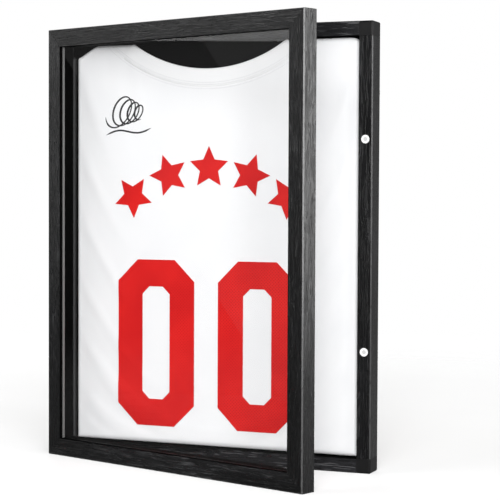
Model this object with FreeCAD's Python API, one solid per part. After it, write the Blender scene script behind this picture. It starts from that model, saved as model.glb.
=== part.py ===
"""Jersey display frame: a shallow wooden box with a jersey on its insert board, closed by a glazed door.

Millimetres, +Z up. The origin is the centre of the box's underside. The box's back is towards +Y
and its open front towards -Y. The door hangs on the left side and stands open at DOOR_OPEN degrees:
its pieces are drawn closed and then turned about the hinge pin.
"""

import FreeCAD
import Part
import math
import os

V = FreeCAD.Vector
X, Y, Z = V(1, 0, 0), V(0, 1, 0), V(0, 0, 1)

# The whole frame
WIDTH, HEIGHT = 620.0, 800.0
DOOR_OPEN = 18.5

# Box: stiles and rails of one section, joined by square corner blocks
BOX_FACE, BOX_DEPTH = 26.0, 41.0
BOX_CHAMFER, BLOCK_CHAMFER, ARRIS = 2.0, 3.0, 0.8
JOINT_ARRIS = 0.35
BACK_REBATE_WIDE, BACK_REBATE_DEEP = 10.0, 8.0
SPIGOT_WIDE, SPIGOT_DEEP, SPIGOT_LONG, SPIGOT_PLAY = 8.0, 18.0, 16.0, 0.15

# Back panel and the black board that the jersey is fixed to
PANEL_THICK, LINING_THICK, SHEET_PLAY = 3.0, 10.0, 0.5
PANEL_SCREW_HEIGHTS, PANEL_SCREW_X = (90.0, 400.0, 710.0), 170.0

# Screws as (head radius, head height, shank radius, length), or without a head height if countersunk
PANEL_SCREW, HANGER_SCREW = (3.0, 2.0, 1.25, 13.0), (3.0, 1.8, 1.5, 16.0)
HINGE_SCREW, STRIKE_SCREW = (2.4, 1.2, 14.0), (3.0, 1.5, 12.0)

# Door: mitred frame with a groove all round for the pane and its glazing beads
DOOR_FACE, DOOR_THICK, DOOR_CHAMFER = 33.0, 33.0, 2.0
DOOR_GAP = 0.5
MITRE_PLAY = 0.1
LIP_THICK, GROOVE_DEEP = 6.0, 7.0
PANE_THICK, BEAD_THICK, BEAD_CHAMFER = 2.0, 5.0, 1.0
NAIL_LEG, NAIL_THICK, NAIL_DEEP, NAIL_SUNK = 7.0, 0.6, 10.0, 0.3
NAILS_ALONG = (9.0, 17.0)

# Butt hinges
HINGE_HEIGHTS = {"lower": 100.0, "middle": 400.0, "upper": 700.0}
PIN_OUT = 2.6
KNUCKLES, KNUCKLE_LONG, KNUCKLE_GAP, KNUCKLE_R = 5, 12.0, 0.4, 2.4
PIN_R, PIN_FIT, PIN_PLAY = 1.1, 0.01, 0.05
PIN_HEAD_R, PIN_HEAD_TALL = 1.9, 1.0
LEAF_WIDE, LEAF_THICK, LEAF_PLAY = 20.0, 1.2, 0.1
LEAF_START, NECK_START = 0.6, 0.5
HINGE_SCREW_STEP, HINGE_SCREW_STAGGER = 22.0, 3.0

# Magnetic catches in the right stile and their strikes on the door
CATCH_HEIGHTS = {"lower": 216.0, "upper": 592.0}
CATCH_R, CATCH_FLANGE, CATCH_BODY_R, CATCH_DEEP = 7.5, 1.2, 5.6, 9.0
MAGNET_R, MAGNET_LONG, MAGNET_SUNK = 3.75, 6.0, 0.3
STRIKE_R, STRIKE_THICK = 7.5, 1.5

# Jersey, its insert board and its fixing pads
JERSEY_FRONT, JERSEY_THICK, JERSEY_PLAY = -10.0, 9.5, 1.5
NECK_CENTRE_X, NECK_R, NECK_LOW_Z = -10.0, 265.0, 723.0
LEFT_SHOULDER, RIGHT_SHOULDER = (40.0, 24.0), (10.0, 8.0)
JERSEY_EDGE_R = 3.0
CARD_THICK, CARD_BEHIND, CARD_SIDE, CARD_PLAY = 4.0, 1.5, 4.5, 0.1
CARD_SHOULDER_WIDE, CARD_SHOULDER_DROP, CARD_NECK_DEEP = 66.0, 18.0, 112.0
PAD_SIDE, PAD_X, PAD_HEIGHTS = 50.0, 200.0, (120.0, 620.0)

# Wall fittings
HANGER_HEIGHT, HANGER_PIVOT_OUT = 680.0, 2.3
STRAP_WIDE, STRAP_LONG, STRAP_THICK = 8.0, 38.0, 1.0
RING_WIRE_R, RING_INSIDE, RING_PLAY = 1.0, 11.0, 0.08
HANGER_SCREW_DROP = 30.0
BUMPER_R, BUMPER_TALL, BUMPER_IN = 6.0, 5.0, 11.0

# Places that follow from the sizes above
FRONT, BACK = -BOX_DEPTH / 2, BOX_DEPTH / 2
SHOULDER_Y = BACK - BACK_REBATE_DEEP
LINING_FRONT = SHOULDER_Y - LINING_THICK
INSIDE_X = WIDTH / 2 - BOX_FACE
INSIDE_LOW, INSIDE_HIGH = BOX_FACE, HEIGHT - BOX_FACE
DOOR_BACK = FRONT - DOOR_GAP
DOOR_FRONT = DOOR_BACK - DOOR_THICK
PIN_X, PIN_Y = -WIDTH / 2 - PIN_OUT, FRONT - DOOR_GAP / 2
CATCH_X = WIDTH / 2 - BOX_FACE / 2


def block(low, high):
    """A box between two opposite corners."""
    size = V(*high) - V(*low)
    return Part.makeBox(size.x, size.y, size.z, V(*low))


def rod(radius, length, start, along):
    """A cylinder from a start point along a direction."""
    return Part.makeCylinder(radius, length, V(*start), along)


def prism(points, along):
    """A polygon swept along a straight line."""
    wire = Part.makePolygon([V(*p) for p in points] + [V(*points[0])])
    return Part.Face(wire).extrude(along)


def joined(shapes):
    """Pieces fused into one solid, without the seams between them."""
    return shapes[0].multiFuse(shapes[1:]).removeSplitter()


def group(shapes):
    """Separate solids that share one node."""
    return Part.makeCompound(shapes)


def side_sign(side):
    return -1 if side == "left" else 1


def save(name, shape):
    """Writes one node, after checking that every solid in it is sound."""
    for solid in shape.Solids:
        if not solid.isValid():
            raise ValueError(name + " has a faulty solid")
    shape.exportStep("parts/" + name + ".step")
    print(f"{name:28s} {len(shape.Solids):3d} solids {shape.Volume / 1000:9.2f} cm3")


def save_door(name, shape):
    """Writes a node of the door, turned about the hinge pin to where the door stands."""
    turned = shape.copy()
    turned.rotate(V(PIN_X, PIN_Y, 0), Z, -DOOR_OPEN)
    save(name, turned)


# Screws


def cross_recess(reach, deep, at, into):
    """The cross-shaped drive in a screw's head."""
    arm = Part.makeBox(2 * reach, 2 * reach / 3, deep, V(-reach, -reach / 3, 0))
    other = Part.makeBox(2 * reach / 3, 2 * reach, deep, V(-reach / 3, -reach, 0))
    cross = joined([arm, other])
    cross.Placement = FreeCAD.Placement(V(*at), FreeCAD.Rotation(Z, into))
    return cross


def countersunk_body(head_r, shank_r, length, at, into):
    """A flat-headed screw whose head's top is at a point, without its drive: also its hole."""
    head = Part.makeCone(head_r, shank_r, head_r - shank_r, V(*at), into)
    return joined([head, rod(shank_r, length, at, into)])


def countersunk_screw(head_r, shank_r, length, at, into):
    recess = cross_recess(head_r / 2, head_r / 3, at, into)
    return countersunk_body(head_r, shank_r, length, at, into).cut(recess)


def pan_screw(head_r, head_tall, shank_r, length, at, into):
    """A round-headed screw that sits on a surface at a point."""
    top = V(*at) - into * head_tall
    head = rod(head_r, head_tall, top, into)
    rim = [e for e in head.Edges if e.Length > 1 and (e.CenterOfMass - top).Length < 0.01]
    head = head.makeFillet(head_tall * 0.6, rim)
    recess = cross_recess(head_r * 0.45, head_tall * 0.5, top, into)
    return joined([head, rod(shank_r, length, at, into)]).cut(recess)


# Box


def box_section():
    """The box's moulding as (distance in from the outer side, y), with the back panel's rebate."""
    rebate = BOX_FACE - BACK_REBATE_WIDE
    return [
        (0, FRONT + BOX_CHAMFER),
        (BOX_CHAMFER, FRONT),
        (BOX_FACE - ARRIS, FRONT),
        (BOX_FACE, FRONT + ARRIS),
        (BOX_FACE, SHOULDER_Y),
        (rebate, SHOULDER_Y),
        (rebate, BACK),
        (ARRIS, BACK),
        (0, BACK - ARRIS),
    ]


def eased_ends(bar, axis, low, high):
    """A bar with its two end outlines eased, which shows as a fine line at each joint."""
    ends = []
    for edge in bar.Edges:
        spots = [getattr(v.Point, axis) for v in edge.Vertexes]
        if all(abs(s - low) < 0.01 for s in spots) or all(abs(s - high) < 0.01 for s in spots):
            ends.append(edge)
    return bar.makeChamfer(JOINT_ARRIS, ends)


def spigot_box(in_low, in_high, play, side, end, standing):
    """The space of a corner spigot: in_low to in_high along the bar, at one side and end."""
    middle = (BOX_FACE - BACK_REBATE_WIDE) / 2
    near, far = middle - SPIGOT_WIDE / 2 - play, middle + SPIGOT_WIDE / 2 + play
    y_low, y_high = -SPIGOT_DEEP / 2 - play, SPIGOT_DEEP / 2 + play
    across = sorted(side * (WIDTH / 2 - d) for d in (near, far))
    if standing:
        along = [HEIGHT - d if end > 0 else d for d in (in_low, in_high)]
        return block((across[0], y_low, min(along)), (across[1], y_high, max(along)))
    along = sorted(side * (WIDTH / 2 - d) for d in (in_low, in_high))
    up = sorted(HEIGHT - d if end > 0 else d for d in (near, far))
    return block((along[0], y_low, up[0]), (along[1], y_high, up[1]))


def box_stile(side):
    sign = side_sign(side)
    section = [(sign * (WIDTH / 2 - d), y, BOX_FACE) for d, y in box_section()]
    bar = prism(section, Z * (HEIGHT - 2 * BOX_FACE))
    bar = eased_ends(bar, "z", INSIDE_LOW, INSIDE_HIGH)
    for end in (-1, 1):
        reach = BOX_FACE + SPIGOT_LONG + SPIGOT_PLAY
        bar = bar.cut(spigot_box(BOX_FACE - 1, reach, SPIGOT_PLAY, sign, end, True))
    return bar


def box_rail(end):
    section = [(-INSIDE_X, y, HEIGHT - d if end > 0 else d) for d, y in box_section()]
    bar = prism(section, X * (2 * INSIDE_X))
    bar = eased_ends(bar, "x", -INSIDE_X, INSIDE_X)
    for sign in (-1, 1):
        reach = BOX_FACE + SPIGOT_LONG + SPIGOT_PLAY
        bar = bar.cut(spigot_box(BOX_FACE - 1, reach, SPIGOT_PLAY, sign, end, False))
    return bar


def corner_block(side, end):
    """A square block with two spigots, one up into the stile and one along into the rail."""
    sign = side_sign(side)

    def x_at(d):
        return sign * (WIDTH / 2 - d)

    def z_at(d):
        return HEIGHT - d if end > 0 else d

    outline = [
        (0, FRONT + BLOCK_CHAMFER),
        (BLOCK_CHAMFER, FRONT),
        (BOX_FACE, FRONT),
        (BOX_FACE, BACK),
        (ARRIS, BACK),
        (0, BACK - ARRIS),
    ]
    standing = prism([(x_at(d), y, z_at(0)) for d, y in outline], V(0, 0, z_at(BOX_FACE) - z_at(0)))
    lying = prism([(x_at(0), y, z_at(d)) for d, y in outline], V(x_at(BOX_FACE) - x_at(0), 0, 0))
    body = standing.common(lying)
    tip = [(0, 0), (BOX_CHAMFER, 0), (0, BOX_CHAMFER)]
    body = body.cut(prism([(x_at(a), FRONT, z_at(b)) for a, b in tip], Y * BOX_DEPTH))
    inner = BOX_FACE - BACK_REBATE_WIDE
    low = (min(x_at(inner), x_at(BOX_FACE)), SHOULDER_Y, min(z_at(inner), z_at(BOX_FACE)))
    high = (max(x_at(inner), x_at(BOX_FACE)), BACK, max(z_at(inner), z_at(BOX_FACE)))
    body = body.cut(block(low, high))
    pegs = [
        spigot_box(BOX_FACE - 2, BOX_FACE + SPIGOT_LONG, 0, sign, end, standing_peg)
        for standing_peg in (True, False)
    ]
    return joined([body] + pegs)


def panel_screw_places():
    """Where the back panel's screws go: three up each side, two along the top and the bottom."""
    inset = BACK_REBATE_WIDE / 2
    places = [(s * (INSIDE_X + inset), z) for s in (-1, 1) for z in PANEL_SCREW_HEIGHTS]
    places += [(s * PANEL_SCREW_X, z) for s in (-1, 1) for z in (INSIDE_LOW - inset, INSIDE_HIGH + inset)]
    return places


def back_panel(screws):
    reach = BACK_REBATE_WIDE - SHEET_PLAY
    low = (-INSIDE_X - reach, SHOULDER_Y, INSIDE_LOW - reach)
    high = (INSIDE_X + reach, SHOULDER_Y + PANEL_THICK, INSIDE_HIGH + reach)
    return block(low, high).cut(screws)


def lining_board():
    """The foam board faced with black felt, against the back panel."""
    low = (-INSIDE_X + SHEET_PLAY, LINING_FRONT, INSIDE_LOW + SHEET_PLAY)
    high = (INSIDE_X - SHEET_PLAY, SHOULDER_Y, INSIDE_HIGH - SHEET_PLAY)
    return block(low, high)


# Magnetic catches


def catch_cup(z):
    """A catch's flanged cup without its pocket: also the hole for it in the stile."""
    return joined([
        rod(CATCH_R, CATCH_FLANGE, (CATCH_X, FRONT, z), Y),
        rod(CATCH_BODY_R, CATCH_DEEP, (CATCH_X, FRONT, z), Y),
    ])


def catch_housing(z):
    """The plastic cup let into the stile, with a pocket for the magnet."""
    return catch_cup(z).cut(rod(MAGNET_R, MAGNET_LONG + MAGNET_SUNK, (CATCH_X, FRONT, z), Y))


def catch_magnet(z):
    return rod(MAGNET_R, MAGNET_LONG, (CATCH_X, FRONT + MAGNET_SUNK, z), Y)


def strike_screw(z, make):
    return make(*STRIKE_SCREW, (CATCH_X, DOOR_BACK, z), -Y)


def strike(z):
    return rod(STRIKE_R, STRIKE_THICK, (CATCH_X, DOOR_BACK, z), -Y).cut(strike_screw(z, countersunk_body))


# Hinges


def knuckle_span(z, number):
    """The lowest point and the length of one knuckle of the hinge centred at z."""
    low = z - KNUCKLES * KNUCKLE_LONG / 2 + number * KNUCKLE_LONG
    return low + KNUCKLE_GAP / 2, KNUCKLE_LONG - KNUCKLE_GAP


def hinge_leaf(z, sign, numbers, bore_r):
    """One leaf: sign is +1 on the box and -1 on the door, numbers its knuckles from the bottom."""
    face = FRONT if sign > 0 else DOOR_BACK
    y_low, y_high = sorted((face, face + sign * LEAF_THICK))
    z_low, z_high = z - KNUCKLES * KNUCKLE_LONG / 2, z + KNUCKLES * KNUCKLE_LONG / 2
    start = PIN_X + KNUCKLE_R + LEAF_START
    pieces = [block((start, y_low, z_low), (PIN_X + PIN_OUT + LEAF_WIDE, y_high, z_high))]
    for number in numbers:
        low, length = knuckle_span(z, number)
        neck = PIN_X + PIN_R + NECK_START
        pieces.append(block((neck, y_low, low), (start + LEAF_THICK, y_high, low + length)))
        pieces.append(rod(KNUCKLE_R, length, (PIN_X, PIN_Y, low), Z))
    leaf = joined(pieces)
    for number in numbers:
        low, length = knuckle_span(z, number)
        leaf = leaf.cut(rod(bore_r, length, (PIN_X, PIN_Y, low), Z))
    return leaf


def leaf_recess(z, sign):
    """The mortise for a leaf, open at the frame's side."""
    face = FRONT if sign > 0 else DOOR_BACK
    y_low, y_high = sorted((face, face + sign * LEAF_THICK))
    half = KNUCKLES * KNUCKLE_LONG / 2 + LEAF_PLAY
    return block((-WIDTH / 2, y_low, z - half), (-WIDTH / 2 + LEAF_WIDE + LEAF_PLAY, y_high, z + half))


def hinge_pin(z):
    """The pin, with a flat head at each end."""
    half = KNUCKLES * KNUCKLE_LONG / 2
    shank = rod(PIN_R, 2 * half, (PIN_X, PIN_Y, z - half), Z)
    upper = rod(PIN_HEAD_R, PIN_HEAD_TALL, (PIN_X, PIN_Y, z + half), Z)
    lower = rod(PIN_HEAD_R, PIN_HEAD_TALL, (PIN_X, PIN_Y, z - half), -Z)
    return joined([shank, upper, lower])


def hinge_screws(sign, make):
    """The screws of all three hinges on one side of the joint, or their holes, as make says."""
    face = FRONT if sign > 0 else DOOR_BACK
    x = -WIDTH / 2 + LEAF_WIDE * 0.4
    screws = []
    for z in HINGE_HEIGHTS.values():
        for step in (-1, 0, 1):
            at = (x + HINGE_SCREW_STAGGER * abs(step), face, z + step * HINGE_SCREW_STEP)
            screws.append(make(*HINGE_SCREW, at, Y * sign))
    return screws


# Door


def door_section():
    """The door's moulding as (distance in from the outer side, y), with the pane's groove."""
    groove = DOOR_FACE - GROOVE_DEEP
    groove_front = DOOR_FRONT + LIP_THICK
    groove_back = groove_front + PANE_THICK + BEAD_THICK
    return [
        (0, DOOR_FRONT + DOOR_CHAMFER),
        (DOOR_CHAMFER, DOOR_FRONT),
        (DOOR_FACE - ARRIS, DOOR_FRONT),
        (DOOR_FACE, DOOR_FRONT + ARRIS),
        (DOOR_FACE, groove_front),
        (groove, groove_front),
        (groove, groove_back),
        (DOOR_FACE, groove_back),
        (DOOR_FACE, DOOR_BACK - ARRIS),
        (DOOR_FACE - ARRIS, DOOR_BACK),
        (ARRIS, DOOR_BACK),
        (0, DOOR_BACK - ARRIS),
    ]


def mitred(bar, corners):
    """A bar cut to the trapezium that its two mitres leave, given as four (x, z) corners."""
    return bar.common(prism([(x, DOOR_FRONT - 1, z) for x, z in corners], Y * (DOOR_THICK + 2)))


def door_stile(side):
    sign = side_sign(side)
    bar = prism([(sign * (WIDTH / 2 - d), y, 0) for d, y in door_section()], Z * HEIGHT)
    out, inner = sign * WIDTH / 2, sign * (WIDTH / 2 - DOOR_FACE)
    trim = MITRE_PLAY
    return mitred(bar, [
        (out, trim), (inner, DOOR_FACE + trim), (inner, HEIGHT - DOOR_FACE - trim), (out, HEIGHT - trim)
    ])


def door_rail(end):
    bar = prism([(-WIDTH / 2, y, HEIGHT - d if end > 0 else d) for d, y in door_section()], X * WIDTH)
    out, inner = (HEIGHT, HEIGHT - DOOR_FACE) if end > 0 else (0, DOOR_FACE)
    far, near = WIDTH / 2 - MITRE_PLAY, WIDTH / 2 - DOOR_FACE - MITRE_PLAY
    return mitred(bar, [(-far, out), (-near, inner), (near, inner), (far, out)])


def pane():
    reach = GROOVE_DEEP - SHEET_PLAY
    y = DOOR_FRONT + LIP_THICK
    half, low = WIDTH / 2 - DOOR_FACE + reach, DOOR_FACE - reach
    return block((-half, y, low), (half, y + PANE_THICK, HEIGHT - low))


def bead(place):
    """A glazing bead behind the pane; the upright beads run the full height of the groove."""
    y = DOOR_FRONT + LIP_THICK + PANE_THICK
    half_in, half_out = WIDTH / 2 - DOOR_FACE, WIDTH / 2 - DOOR_FACE + GROOVE_DEEP
    low_in, low_out = DOOR_FACE, DOOR_FACE - GROOVE_DEEP
    spans = {
        "left": ((-half_out, low_out), (-half_in, HEIGHT - low_out)),
        "right": ((half_in, low_out), (half_out, HEIGHT - low_out)),
        "bottom": ((-half_in, low_out), (half_in, low_in)),
        "top": ((-half_in, HEIGHT - low_in), (half_in, HEIGHT - low_out)),
    }
    (x0, z0), (x1, z1) = spans[place]
    strip = block((x0, y, z0), (x1, y + BEAD_THICK, z1))
    inner = V((x0 + x1) / 2, y + BEAD_THICK, (z0 + z1) / 2)
    if x1 - x0 < z1 - z0:
        inner.x = math.copysign(half_in, inner.x)
    else:
        inner.z = low_in if place == "bottom" else HEIGHT - low_in
    return strip.makeChamfer(BEAD_CHAMFER, [e for e in strip.Edges if (e.CenterOfMass - inner).Length < 0.01])


def corner_nails():
    """Two V-nails across each mitre, driven in from the back of the door."""
    nails = []
    leg, thick = NAIL_LEG, NAIL_THICK
    corner = [(0, 0), (leg, 0), (leg, thick), (thick, thick), (thick, leg), (0, leg)]
    for sign in (-1, 1):
        for end in (-1, 1):
            for along in NAILS_ALONG:
                points = []
                for a, b in corner:
                    x = sign * (WIDTH / 2 - along - a)
                    z = HEIGHT - along - b if end > 0 else along + b
                    points.append((x, DOOR_BACK - NAIL_SUNK, z))
                nails.append(prism(points, -Y * NAIL_DEEP))
    return nails


# Jersey


def jersey_outline():
    """The jersey's front face: a wide round neck, sloped shoulders and straight sides."""
    y = JERSEY_FRONT
    half, low, high = INSIDE_X - JERSEY_PLAY, INSIDE_LOW + JERSEY_PLAY, INSIDE_HIGH - JERSEY_PLAY
    (left_in, left_drop), (right_in, right_drop) = LEFT_SHOULDER, RIGHT_SHOULDER
    reach = math.sqrt(NECK_R**2 - (NECK_LOW_Z + NECK_R - high) ** 2)
    neck_left, neck_right = V(NECK_CENTRE_X - reach, y, high), V(NECK_CENTRE_X + reach, y, high)
    corners = [
        neck_right,
        V(half - right_in, y, high),
        V(half, y, high - right_drop),
        V(half, y, low),
        V(-half, y, low),
        V(-half, y, high - left_drop),
        V(-half + left_in, y, high),
        neck_left,
    ]
    edges = [Part.LineSegment(a, b).toShape() for a, b in zip(corners, corners[1:])]
    edges.append(Part.Arc(neck_left, V(NECK_CENTRE_X, y, NECK_LOW_Z), neck_right).toShape())
    return Part.Face(Part.Wire(edges))


def card(play, low):
    """The insert board, or with play the pocket for it: sloping shoulders and a deep oval neck."""
    half, high = INSIDE_X - JERSEY_PLAY - CARD_SIDE + play, INSIDE_HIGH - JERSEY_PLAY - CARD_SIDE + play
    neck, neck_deep = half - CARD_SHOULDER_WIDE - 2 * play, CARD_NECK_DEEP
    y, thick = JERSEY_FRONT + CARD_BEHIND - play, CARD_THICK + 2 * play
    outline = [
        (-half, y, low),
        (half, y, low),
        (half, y, high - CARD_SHOULDER_DROP),
        (neck, y, high),
        (-neck, y, high),
        (-half, y, high - CARD_SHOULDER_DROP),
    ]
    oval = Part.Ellipse(V(0, 0, 0), neck, neck_deep).toShape()
    cutter = Part.Face(Part.Wire(oval)).extrude(Z * (thick + 2))
    cutter.rotate(V(0, 0, 0), X, 90)
    cutter.translate(V(0, y + thick + 1, high))
    return prism(outline, Y * thick).cut(cutter)


def jersey():
    """The folded jersey as one soft slab, open below where the insert board slides in."""
    slab = jersey_outline().extrude(Y * JERSEY_THICK)
    rim = [e for e in slab.Edges if e.BoundBox.YLength < 0.01]
    slab = slab.makeFillet(JERSEY_EDGE_R, rim)
    return slab.cut(card(CARD_PLAY, INSIDE_LOW))


def fixing_pads():
    """Hook-and-loop pads between the jersey's back and the lining board."""
    y = JERSEY_FRONT + JERSEY_THICK
    pads = []
    for x in (-PAD_X, PAD_X):
        for z in PAD_HEIGHTS:
            corner = (x - PAD_SIDE / 2, y, z - PAD_SIDE / 2)
            pads.append(block(corner, (x + PAD_SIDE / 2, LINING_FRONT, z + PAD_SIDE / 2)))
    return pads


# Wall fittings


def hanger_x(side):
    return side_sign(side) * (WIDTH / 2 - (BOX_FACE - BACK_REBATE_WIDE) / 2)


def hanger_strap(side):
    """A steel strap folded round the ring's bar and screwed to the stile below it."""
    x0 = hanger_x(side) - STRAP_WIDE / 2
    low, inner_r = HANGER_HEIGHT - STRAP_LONG, RING_WIRE_R + RING_PLAY
    pivot = (x0, BACK + HANGER_PIVOT_OUT, HANGER_HEIGHT)
    plate = block((x0, BACK, low), (x0 + STRAP_WIDE, BACK + STRAP_THICK, HANGER_HEIGHT))
    loop = rod(inner_r + STRAP_THICK, STRAP_WIDE, pivot, X)
    strap = joined([plate, loop]).cut(rod(inner_r, STRAP_WIDE, pivot, X))
    corners = [e for e in strap.Edges if abs(e.CenterOfMass.z - low) < 0.01 and e.Length < STRAP_THICK + 0.01]
    return strap.makeFillet(STRAP_WIDE * 0.4, corners)


def hanger_screw(side):
    at = (hanger_x(side), BACK + STRAP_THICK, HANGER_HEIGHT - HANGER_SCREW_DROP)
    return pan_screw(*HANGER_SCREW, at, -Y)


def hanger_ring(side):
    """A D-shaped wire ring that hangs from its straight bar."""
    x, y, z = hanger_x(side), BACK + HANGER_PIVOT_OUT, HANGER_HEIGHT
    half = RING_INSIDE / 2 + RING_WIRE_R
    bend = 2 * RING_WIRE_R
    mid = bend * (1 - math.sqrt(0.5))

    def at(across, down):
        return V(x + across, y, z - down)

    spine = [
        Part.LineSegment(at(0, 0), at(half - bend, 0)),
        Part.Arc(at(half - bend, 0), at(half - mid, mid), at(half, bend)),
        Part.LineSegment(at(half, bend), at(half, half)),
        Part.Arc(at(half, half), at(0, 2 * half), at(-half, half)),
        Part.LineSegment(at(-half, half), at(-half, bend)),
        Part.Arc(at(-half, bend), at(mid - half, mid), at(bend - half, 0)),
        Part.LineSegment(at(bend - half, 0), at(0, 0)),
    ]
    path = Part.Wire([piece.toShape() for piece in spine])
    section = Part.Wire(Part.makeCircle(RING_WIRE_R, at(0, 0), X))
    return path.makePipeShell([section], True, False)


def wall_bumper(side):
    """A domed rubber bumper on the back of a lower corner block."""
    at = (side_sign(side) * (WIDTH / 2 - BUMPER_IN), BACK, BUMPER_IN)
    foot = rod(BUMPER_R, BUMPER_TALL, at, Y)
    rim = [e for e in foot.Edges if e.BoundBox.YMin > BACK + BUMPER_TALL - 0.01]
    return foot.makeFillet(BUMPER_TALL * 0.5, rim)


# Every node in turn

os.makedirs("parts", exist_ok=True)
SIDES, ENDS = ("left", "right"), {"bottom": -1, "top": 1}

panel_screws = [
    pan_screw(*PANEL_SCREW, (x, SHOULDER_Y + PANEL_THICK, z), -Y) for x, z in panel_screw_places()
]
box_hinge_holes, door_hinge_holes = hinge_screws(1, countersunk_body), hinge_screws(-1, countersunk_body)
hanger_screws = [hanger_screw(side) for side in SIDES]
catch_holes = [catch_cup(z) for z in CATCH_HEIGHTS.values()]
box_recesses = [leaf_recess(z, 1) for z in HINGE_HEIGHTS.values()]
door_recesses = [leaf_recess(z, -1) for z in HINGE_HEIGHTS.values()]
nails = corner_nails()
strikes = {place: strike(z) for place, z in CATCH_HEIGHTS.items()}
strike_screw_holes = [strike_screw(z, countersunk_body) for z in CATCH_HEIGHTS.values()]

stile_cuts = {"left": box_recesses + box_hinge_holes, "right": catch_holes}
for side in SIDES:
    save(f"box_{side}_stile", box_stile(side).cut(stile_cuts[side] + panel_screws + hanger_screws))
for name, end in ENDS.items():
    save(f"box_{name}_rail", box_rail(end).cut(panel_screws))
    for side in SIDES:
        save(f"corner_block_{name}_{side}", corner_block(side, end))
save("back_panel", back_panel(panel_screws))
save("back_panel_screws", group(panel_screws))
save("lining_board", lining_board())

for place, z in CATCH_HEIGHTS.items():
    save(f"catch_housing_{place}", catch_housing(z))
    save(f"catch_magnet_{place}", catch_magnet(z))

for place, z in HINGE_HEIGHTS.items():
    box_leaf = hinge_leaf(z, 1, (0, 2, 4), PIN_R + PIN_FIT)
    save(f"hinge_box_leaf_{place}", box_leaf.cut(box_hinge_holes))
    door_leaf = hinge_leaf(z, -1, (1, 3), PIN_R + PIN_PLAY)
    save_door(f"hinge_door_leaf_{place}", door_leaf.cut(door_hinge_holes))
    save(f"hinge_pin_{place}", hinge_pin(z))
save("hinge_box_screws", group(hinge_screws(1, countersunk_screw)))
save_door("hinge_door_screws", group(hinge_screws(-1, countersunk_screw)))

strike_cuts = list(strikes.values()) + strike_screw_holes
door_cuts = {"left": door_recesses + door_hinge_holes + nails, "right": strike_cuts + nails}
for side in SIDES:
    save_door(f"door_{side}_stile", door_stile(side).cut(door_cuts[side]))
    save_door(f"glazing_bead_{side}", bead(side))
for name, end in ENDS.items():
    save_door(f"door_{name}_rail", door_rail(end).cut(nails))
    save_door(f"glazing_bead_{name}", bead(name))
save_door("pane", pane())
save_door("door_corner_nails", group(nails))
for place, shape in strikes.items():
    save_door(f"strike_{place}", shape)
save_door("strike_screws", group([strike_screw(z, countersunk_screw) for z in CATCH_HEIGHTS.values()]))

save("jersey", jersey())
save("insert_board", card(0, INSIDE_LOW + JERSEY_PLAY + CARD_SIDE))
save("jersey_fixing_pads", group(fixing_pads()))

for side in SIDES:
    save(f"hanger_ring_{side}", hanger_ring(side))
save("hanger_straps", group([hanger_strap(side).cut(hanger_screws) for side in SIDES]))
save("hanger_screws", group(hanger_screws))
save("wall_bumpers", group([wall_bumper(side) for side in SIDES]))
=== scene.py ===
"""Jersey display frame: a black wooden box with a glazed door, and a white sports jersey inside it."""

import math

import bmesh
import bpy
import mathutils.noise
from mathutils import Matrix, Vector
from mathutils.bvhtree import BVHTree


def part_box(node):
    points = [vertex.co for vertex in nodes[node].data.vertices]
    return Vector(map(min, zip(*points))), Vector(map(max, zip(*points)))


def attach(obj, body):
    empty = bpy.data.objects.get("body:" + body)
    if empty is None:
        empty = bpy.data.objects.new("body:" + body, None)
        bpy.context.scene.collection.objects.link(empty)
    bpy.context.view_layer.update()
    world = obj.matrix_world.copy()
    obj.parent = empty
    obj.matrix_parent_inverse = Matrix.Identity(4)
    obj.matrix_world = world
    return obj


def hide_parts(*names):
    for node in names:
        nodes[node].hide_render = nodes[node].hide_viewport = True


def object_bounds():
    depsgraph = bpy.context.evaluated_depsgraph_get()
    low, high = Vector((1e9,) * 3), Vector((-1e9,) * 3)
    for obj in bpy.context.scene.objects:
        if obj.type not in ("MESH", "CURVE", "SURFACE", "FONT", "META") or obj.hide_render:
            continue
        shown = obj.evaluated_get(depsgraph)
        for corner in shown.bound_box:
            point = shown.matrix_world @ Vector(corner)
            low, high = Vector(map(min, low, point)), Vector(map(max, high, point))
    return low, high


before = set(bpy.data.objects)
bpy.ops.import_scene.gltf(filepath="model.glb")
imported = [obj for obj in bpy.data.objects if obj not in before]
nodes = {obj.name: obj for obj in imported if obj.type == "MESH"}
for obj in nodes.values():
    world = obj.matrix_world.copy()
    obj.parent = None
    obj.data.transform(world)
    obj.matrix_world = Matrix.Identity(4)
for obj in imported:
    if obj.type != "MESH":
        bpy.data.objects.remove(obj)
cad_low, cad_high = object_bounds()


# Studio: a seamless pale floor that fades out at its edges, a room that is pale on the right and dark on the
# left, and soft lamps all round, the strongest to the front right. Three weak panels on the left are there
# for the pane to mirror: two slanting ones, and a level one for the strip under the door's top rail.


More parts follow.
